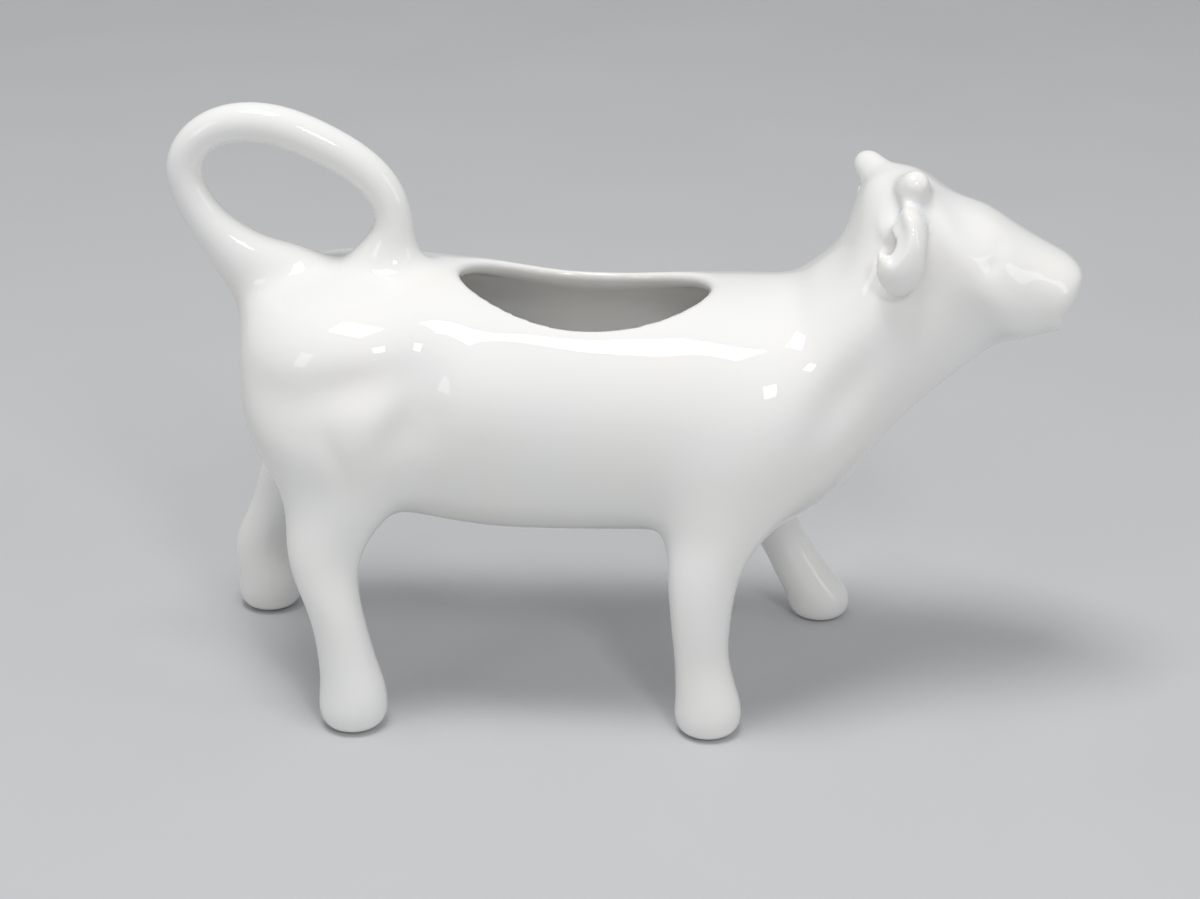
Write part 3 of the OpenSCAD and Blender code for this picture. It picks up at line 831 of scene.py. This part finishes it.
def cut_at(bm, seam):
    """Parts the mesh along a seam, in the loops whose middle is the seam's own."""
    bm.verts.index_update()
    offset = seam.offsets(np.array([v.co for v in bm.verts]))
    offset[np.abs(offset) < TINY] = TINY
    above = (offset > 0).tolist()

    def crossed_edges(face):
        return [e for e in face.edges if above[e.verts[0].index] != above[e.verts[1].index]]

    def across_them(face):
        return [other for e in crossed_edges(face) for other in e.link_faces]

    crossed = [f for f in bm.faces if 0 < sum(above[v.index] for v in f.verts) < len(f.verts)]
    edges = set()
    for loop in hanging_together(crossed, across_them):
        if len(loop) > SHORTEST_LOOP and (middle_of(loop) - seam.point).length < seam.reach:
            edges.update(e for f in loop for e in crossed_edges(f))
    if not edges:
        raise RuntimeError("a seam misses the creamer's surface")
    made = []
    for e in edges:
        a, b = e.verts
        share = offset[a.index] / (offset[a.index] - offset[b.index])
        made.append(bmesh.utils.edge_split(e, a, share)[1])
    cut = bmesh.ops.connect_verts(bm, verts=made)["edges"]
    bmesh.ops.split_edges(bm, edges=cut)


def cap_root(bm):
    """Closes what is left open, round a luted root, with a fan to its middle."""
    faces = []
    open_edges = [e for e in bm.edges if e.is_boundary]
    for loop in hanging_together(open_edges, lambda e: [o for v in e.verts for o in v.link_edges]):
        ends = {v for e in loop for v in e.verts}
        middle = bm.verts.new(sum((v.co for v in ends), Vector()) / len(ends))
        for e in loop:
            corner = e.link_loops[0]
            faces.append(bm.faces.new((corner.link_loop_next.vert, corner.vert, middle)))
    return faces


def cap(bm, seam):
    """Closes a cut with the flat luted face, turned away from the piece."""
    flat = [e for e in bm.edges if e.is_boundary
            and all(abs(seam.offset(v.co)) < ON_SEAM for v in e.verts)]
    if not flat:
        return []
    side = sum(seam.offset(e.link_faces[0].calc_center_median()) for e in flat)
    out = seam.way if side < 0 else -seam.way
    made = bmesh.ops.triangle_fill(bm, use_beauty=True, edges=flat, normal=out)["geom"]
    faces = [f for f in made if isinstance(f, bmesh.types.BMFace)]
    for f in faces:
        f.normal_update()
        if f.normal.dot(out) < 0:
            f.normal_flip()
    return faces


def pieces_of(surface, cuts, ends):
    """The surface parted at its seams: the points and faces of each piece. What lies past
    an end is dropped."""
    points, quads = surface.mesh()
    mesh = bpy.data.meshes.new("creamer_surface")
    mesh.from_pydata(points.tolist(), [], quads.tolist())
    bm = bmesh.new()
    bm.from_mesh(mesh)
    bpy.data.meshes.remove(mesh)
    for seam in [*cuts, *ends]:
        cut_at(bm, seam)
    found = []
    for part in hanging_together(bm.faces, lambda f: [o for e in f.edges for o in e.link_faces]):
        if len(part) < SMALLEST_PART or any(seam.offset(middle_of(part)) > 0 for seam in ends):
            continue
        corners = {v: i for i, v in enumerate(dict.fromkeys(v for f in part for v in f.verts))}
        found.append((np.array([v.co[:] for v in corners]),
                      [[corners[v] for v in f.verts] for f in part]))
    bm.free()
    return found


# Clear space round the creamer in a block of sample points, in millimetres
MARGIN = 3.0
# Reach of the head's block from the middle of the neck's seam backwards, downwards and to
# each side, and of the body's block forwards, as shares of the head's width
HEAD_BACK, HEAD_DOWN, HEAD_ASIDE, BODY_ON = 0.55, 0.9, 0.75, 0.4

BLOCKS = {}


def block_pieces(context, name):
    """The skin and the parted surface of the body's block or of the head's, made once,
    and the flat seams."""
    if name in BLOCKS:
        return BLOCKS[name]
    cow = Cow(context.scene)
    low, high = CREAMER_BOX[0] / MM, CREAMER_BOX[1] / MM
    neck = neck_seam(cow)
    width = cow.head_width
    if name == "body":
        block = Block([low.x - MARGIN, low.y - MARGIN, -MARGIN],
                      [neck.point.x + BODY_ON * width, high.y + MARGIN, high.z + MARGIN],
                      cow.body_step)
        surface = Skin(form_of(cow, block, None), block)
        cuts, end = list(body_seams(cow)), neck
        flat = [*cuts, end]
    else:
        block = Block([neck.point.x - HEAD_BACK * width, -HEAD_ASIDE * width,
                       neck.point.z - HEAD_DOWN * width],
                      [high.x + MARGIN, HEAD_ASIDE * width, high.z + 2 * MARGIN], cow.head_step)
        roots = {}
        surface = Skin(form_of(cow, block, roots), block)
        cuts, end = list(head_seams(cow, block, roots)), Seam(neck.point, -neck.way, neck.reach)
        flat = [end]
    BLOCKS[name] = (surface, pieces_of(surface, cuts, [end]), flat)
    return BLOCKS[name]


def place_object(context, name, data):
    """A new object in the scene."""
    made = bpy.data.objects.new(name, data)
    context.scene.collection.objects.link(made)
    return made


def glaze_piece(context, node, block_name, material):
    """One piece as a closed mesh in metres that stands for its frame node."""
    surface, parts, seams = block_pieces(context, block_name)
    low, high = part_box(node)
    wanted = np.array([*low, *high]) / MM

    def misfit(part):
        return np.abs(np.concatenate([part[0].min(0), part[0].max(0)]) - wanted).sum()

    places, faces = min(parts, key=misfit)
    if misfit((places, faces)) > LARGEST_MISFIT * (wanted[3:] - wanted[:3]).sum():
        raise RuntimeError(f"no part of the surface fits {node}")
    mesh = bpy.data.meshes.new("glazed_" + node)
    mesh.from_pydata(places.tolist(), [], faces)
    bm = bmesh.new()
    bm.from_mesh(mesh)
    caps = [f for seam in seams for f in cap(bm, seam)] + cap_root(bm)
    if any(e.is_boundary for e in bm.edges):
        raise RuntimeError(f"{node} isn't closed at its seams")
    bm.faces.index_update()
    flat = {f.index for f in caps}
    bm.to_mesh(mesh)
    bm.free()
    finish_mesh(mesh, surface, flat)
    mesh.materials.append(material)
    piece = place_object(context, mesh.name, mesh)
    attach(piece, "root")
    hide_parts(node)


# The depth of the glaze, from how the surface bends, is kept within this of nought
DEPTH_RANGE = 2


def finish_mesh(mesh, surface, flat):
    """Turns a piece to metres, and gives it the glaze's own smooth normals, flat luted
    faces and the depth of the glaze."""
    places = np.empty(len(mesh.vertices) * 3)
    mesh.vertices.foreach_get("co", places)
    at = surface.block.steps(places.reshape(-1, 3))
    depth = np.clip(-at_points(surface.bend, at), -DEPTH_RANGE, DEPTH_RANGE)
    attribute = mesh.attributes.new("glaze_depth", "FLOAT", "POINT")
    attribute.data.foreach_set("value", depth.astype(np.float32))
    mesh.vertices.foreach_set("co", places * MM)
    mesh.shade_smooth()
    corners = np.empty(len(mesh.loops), int)
    mesh.loops.foreach_get("vertex_index", corners)
    normals = unit(at_points(surface.slopes, at))[corners]
    for i in flat:
        polygon = mesh.polygons[i]
        normals[polygon.loop_start:polygon.loop_start + polygon.loop_total] = polygon.normal
    mesh.normals_split_custom_set(normals.tolist())
    mesh.update()


def add(tree, kind, settings=None, inputs=None):
    """A node with its settings, and its inputs as values or as links from sockets."""
    node = tree.nodes.new(kind)
    for name, value in (settings or {}).items():
        setattr(node, name, value)
    for key, value in (inputs or {}).items():
        if isinstance(value, bpy.types.NodeSocket):
            tree.links.new(value, node.inputs[key])
        else:
            node.inputs[key].default_value = value
    return node


def new_material(name):
    """A material and its node tree, which is still empty."""
    material = bpy.data.materials.new(name)
    material.use_nodes = True
    material.node_tree.nodes.clear()
    return material, material.node_tree


def per_metre(millimetres):
    """Scale of a pattern on object coordinates whose marks have this size."""
    return 1 / (millimetres * MM)


def glazed_porcelain(finish):
    """Slip-cast hard porcelain under a clear glaze, fired glossy: bright, mirror smooth
    but softly uneven, bluish where the glaze pools, and bare clay where a sole was wiped."""
    name = "Glazed porcelain"
    if name in bpy.data.materials:
        return bpy.data.materials[name]
    material, tree = new_material(name)
    place = add(tree, "ShaderNodeTexCoord").outputs["Object"]
    depth = add(tree, "ShaderNodeAttribute", {"attribute_name": "glaze_depth"}).outputs["Fac"]
    # Clouds in the glaze, ripples of its skin and grains of the clay, by size and detail
    cloud, ripple, grain = (
        add(tree, "ShaderNodeTexNoise", {}, {"Vector": place, "Scale": per_metre(size),
                                             "Detail": detail}).outputs["Fac"]
        for size, detail in ((16, 2.0), (1.6, 1.0), (0.25, 3.0)))
    # How far up the sole was wiped, along an edge that the grains make ragged
    height = add(tree, "ShaderNodeSeparateXYZ", {}, {0: place}).outputs["Z"]
    edge = add(tree, "ShaderNodeMath", {"operation": "MULTIPLY_ADD"},
               {0: grain, 1: 0.25 * MM, 2: height}).outputs[0]
    pooled, thin, wiped = (
        add(tree, "ShaderNodeMapRange", {"interpolation_type": "SMOOTHSTEP"},
            {"Value": value, "From Min": start, "From Max": end}).outputs["Result"]
        for value, start, end in ((depth, 0.02, 0.55), (depth, -0.35, -1.3),
                                  (edge, 0.45 * MM, 0.3 * MM)))
    # The clouds thin the glaze a little, and make it a little less glossy
    cloudy, gloss = (
        add(tree, "ShaderNodeMapRange", {}, {"Value": cloud, "From Min": start, "From Max": end,
                                             "To Min": low, "To Max": high}).outputs["Result"]
        for start, end, low, high in ((0.35, 0.65, 0.0, 0.35), (0.3, 0.7, 0.03, 0.07)))
    clay = add(tree, "ShaderNodeMix", {"data_type": "RGBA"},
               {0: grain, 6: finish.biscuit, 7: finish.thin_glaze}).outputs[2]
    tone = finish.glaze
    for share, other in ((pooled, finish.pooled_glaze), (thin, finish.thin_glaze),
                         (cloudy, finish.thin_glaze), (wiped, clay)):
        tone = add(tree, "ShaderNodeMix", {"data_type": "RGBA"},
                   {0: share, 6: tone, 7: other}).outputs[2]
    rough = add(tree, "ShaderNodeMix", {"data_type": "FLOAT"},
                {0: wiped, 2: gloss, 3: 0.8}).outputs[0]
    # Waves in the glaze, the ripples of its skin and sand on a wiped sole, each over the last
    below = {}
    for pattern, millimetres, strength in ((cloud, 0.05, 1.0), (ripple, 0.0015, 1.0),
                                           (grain, 0.03, wiped)):
        bump = add(tree, "ShaderNodeBump", {}, {"Height": pattern, "Strength": strength,
                                                "Distance": millimetres * MM, **below})
        below = {"Normal": bump.outputs[0]}
    shader = add(tree, "ShaderNodeBsdfPrincipled", {},
                 {"Base Color": tone, "Roughness": rough, "IOR": 1.5, **below})
    add(tree, "ShaderNodeOutputMaterial", {}, {"Surface": shader.outputs[0]})
    return material


def floor_material(finish):
    """Plain matt card, with a faint mottle."""
    material, tree = new_material("Matt floor")
    place = add(tree, "ShaderNodeTexCoord").outputs["Object"]
    mottle = add(tree, "ShaderNodeTexNoise", {}, {"Vector": place, "Scale": per_metre(60)})
    shade = add(tree, "ShaderNodeMapRange", {}, {"Value": mottle.outputs["Fac"], "To Min": 0.97,
                                                 "To Max": 1.03}).outputs["Result"]
    tone = add(tree, "ShaderNodeVectorMath", {"operation": "SCALE"},
               {0: finish.floor[:3], "Scale": shade}).outputs[0]
    shader = add(tree, "ShaderNodeBsdfPrincipled", {}, {"Base Color": tone, "Roughness": 0.7,
                                                        "Specular IOR Level": 0.3})
    add(tree, "ShaderNodeOutputMaterial", {}, {"Surface": shader.outputs[0]})
    return material


class GlazedPiece:
    """What the operators of the pieces share."""
    bl_options = {"REGISTER", "UNDO"}
    nodes = ()
    block = "body"

    def execute(self, context):
        material = glazed_porcelain(context.scene.creamer_finish)
        for node in self.nodes:
            glaze_piece(context, node, self.block, material)
        return {"FINISHED"}


class CREAMER_OT_body_shell(GlazedPiece, bpy.types.Operator):
    """Model the hollow trunk and neck with the filling opening"""
    bl_idname = "creamer.body_shell"
    bl_label = "Body shell"
    nodes = ("body_shell",)


class CREAMER_OT_legs(GlazedPiece, bpy.types.Operator):
    """Model the four legs"""
    bl_idname = "creamer.legs"
    bl_label = "Legs"
    nodes = ("right_front_leg", "left_front_leg", "right_hind_leg", "left_hind_leg")


class CREAMER_OT_tail_handle(GlazedPiece, bpy.types.Operator):
    """Model the looped tail that serves as the handle"""
    bl_idname = "creamer.tail_handle"
    bl_label = "Tail handle"
    nodes = ("tail_handle",)


class CREAMER_OT_head_shell(GlazedPiece, bpy.types.Operator):
    """Model the hollow head with the pouring mouth"""
    bl_idname = "creamer.head_shell"
    bl_label = "Head shell"
    nodes = ("head_shell",)
    block = "head"


class CREAMER_OT_ears(GlazedPiece, bpy.types.Operator):
    """Model the two ears"""
    bl_idname = "creamer.ears"
    bl_label = "Ears"
    nodes = ("right_ear", "left_ear")
    block = "head"


class CREAMER_OT_horns(GlazedPiece, bpy.types.Operator):
    """Model the two horns"""
    bl_idname = "creamer.horns"
    bl_label = "Horns"
    nodes = ("right_horn", "left_horn")
    block = "head"


# Half the width of the floor, in metres
FLOOR_HALF = 4.0

# Name of each lamp, its place and its two widths in metres, and its power in watts
LAMPS = (
    ("top_lamp", (-0.1, -0.15, 1.1), (0.4, 0.3), 5.8),
    ("window_lamp", (0.3, -0.8, 0.8), (0.16, 0.22), 1.9),
    ("front_lamp", (-0.8, -0.8, 0.55), (0.3, 0.5), 0.9),
    ("side_lamp", (0.95, -0.3, 0.4), (0.25, 0.5), 0.7))
LAMP_TARGET = (0, 0, 0.05)
# Strength of the surroundings as light, and as what the camera and mirrors see
ROOM_LIGHT = 0.4
ROOM_SEEN = 0.8

# The camera stands in front of the cow's right side and looks a little down. Its place is
# in metres, its turn and drop in degrees.
CAMERA_PLACE = (0.0133, -0.4498, 0.246)
CAMERA_TURN = 2.3
CAMERA_DROP = 24.0
# Focal length as a share of the picture's width
CAMERA_REACH = 2641 / 1200
SENSOR_WIDTH = 36.0
NEAREST_SEEN = 0.01


def add_floor(context):
    """The plain floor that the creamer stands on."""
    mesh = bpy.data.meshes.new("floor")
    half = FLOOR_HALF
    mesh.from_pydata([(-half, -half, 0), (half, -half, 0), (half, half, 0), (-half, half, 0)],
                     [], [(0, 1, 2, 3)])
    mesh.materials.append(floor_material(context.scene.creamer_finish))
    floor = place_object(context, "floor", mesh)


def add_lamps(context):
    """Soft studio lamps, all turned to the creamer."""
    for name, place, size, power in LAMPS:
        lamp = bpy.data.lights.new(name, "AREA")
        lamp.shape = "RECTANGLE"
        lamp.size, lamp.size_y = size
        lamp.energy = power
        way = Vector(LAMP_TARGET) - Vector(place)
        holder = place_object(context, name, lamp)
        holder.location = place
        holder.rotation_euler = way.to_track_quat("-Z", "Y").to_euler()


def add_room(context):
    """An even white light all round, which looks like the floor wherever it is seen."""
    world = bpy.data.worlds.new("studio")
    world.use_nodes = True
    tree = world.node_tree
    tree.nodes.clear()
    soft = add(tree, "ShaderNodeBackground", {}, {"Color": linear("FFFFFF"),
                                                  "Strength": ROOM_LIGHT})
    shown = add(tree, "ShaderNodeBackground", {}, {"Color": context.scene.creamer_finish.floor,
                                                   "Strength": ROOM_SEEN})
    path = add(tree, "ShaderNodeLightPath")
    seen = path.outputs["Is Camera Ray"]
    for kind in ("Is Glossy Ray", "Is Transmission Ray"):
        seen = add(tree, "ShaderNodeMath", {"operation": "MAXIMUM"},
                   {0: seen, 1: path.outputs[kind]}).outputs[0]
    both = add(tree, "ShaderNodeMixShader", {}, {0: seen, 1: soft.outputs[0],
                                                 2: shown.outputs[0]})
    add(tree, "ShaderNodeOutputWorld", {}, {"Surface": both.outputs[0]})
    context.scene.world = world


def add_camera(context):
    """The camera, set where the photo was taken from."""
    camera = place_object(context, "camera", bpy.data.cameras.new("camera"))
    camera.data.sensor_width = SENSOR_WIDTH
    camera.data.lens = CAMERA_REACH * SENSOR_WIDTH
    camera.data.clip_start = NEAREST_SEEN
    turn, drop = math.radians(CAMERA_TURN), math.radians(CAMERA_DROP)
    way = Vector((-math.sin(turn) * math.cos(drop), math.cos(turn) * math.cos(drop),
                  -math.sin(drop)))
    camera.location = CAMERA_PLACE
    camera.rotation_euler = way.to_track_quat("-Z", "Y").to_euler()
    context.scene.camera = camera


class CREAMER_OT_stage(bpy.types.Operator):
    """Add the plain floor, the soft studio lamps and the camera"""
    bl_idname = "creamer.stage"
    bl_label = "Stage"

    def execute(self, context):
        add_floor(context)
        add_lamps(context)
        add_room(context)
        add_camera(context)
        context.scene.view_settings.view_transform = "Standard"
        return {"FINISHED"}


PIECES = (CREAMER_OT_body_shell, CREAMER_OT_legs, CREAMER_OT_tail_handle,
          CREAMER_OT_head_shell, CREAMER_OT_ears, CREAMER_OT_horns, CREAMER_OT_stage)


class CREAMER_PT_panel(bpy.types.Panel):
    """Sizes and finishes of the creamer, and the operators that make it"""
    bl_label = "Cow creamer"
    bl_space_type = "VIEW_3D"
    bl_region_type = "UI"
    bl_category = "Creamer"

    def draw(self, context):
        layout = self.layout
        scene = context.scene
        for group in (scene.creamer_sizes, scene.creamer_edges, scene.creamer_finish):
            box = layout.box()
            for name in type(group).__annotations__:
                box.prop(group, name)
        for operator in PIECES:
            layout.operator(operator.bl_idname)


CLASSES = (CreamerSizes, CreamerEdges, CreamerFinish, *PIECES, CREAMER_PT_panel)


def register():
    for item in CLASSES:
        bpy.utils.register_class(item)
    bpy.types.Scene.creamer_sizes = bpy.props.PointerProperty(type=CreamerSizes)
    bpy.types.Scene.creamer_edges = bpy.props.PointerProperty(type=CreamerEdges)
    bpy.types.Scene.creamer_finish = bpy.props.PointerProperty(type=CreamerFinish)


def unregister():
    del bpy.types.Scene.creamer_sizes
    del bpy.types.Scene.creamer_edges
    del bpy.types.Scene.creamer_finish
    for item in reversed(CLASSES):
        bpy.utils.unregister_class(item)


def main():
    register()
    for operator in PIECES:
        getattr(bpy.ops.creamer, operator.bl_idname.split(".")[1])()


if __name__ == "__main__":
    main()
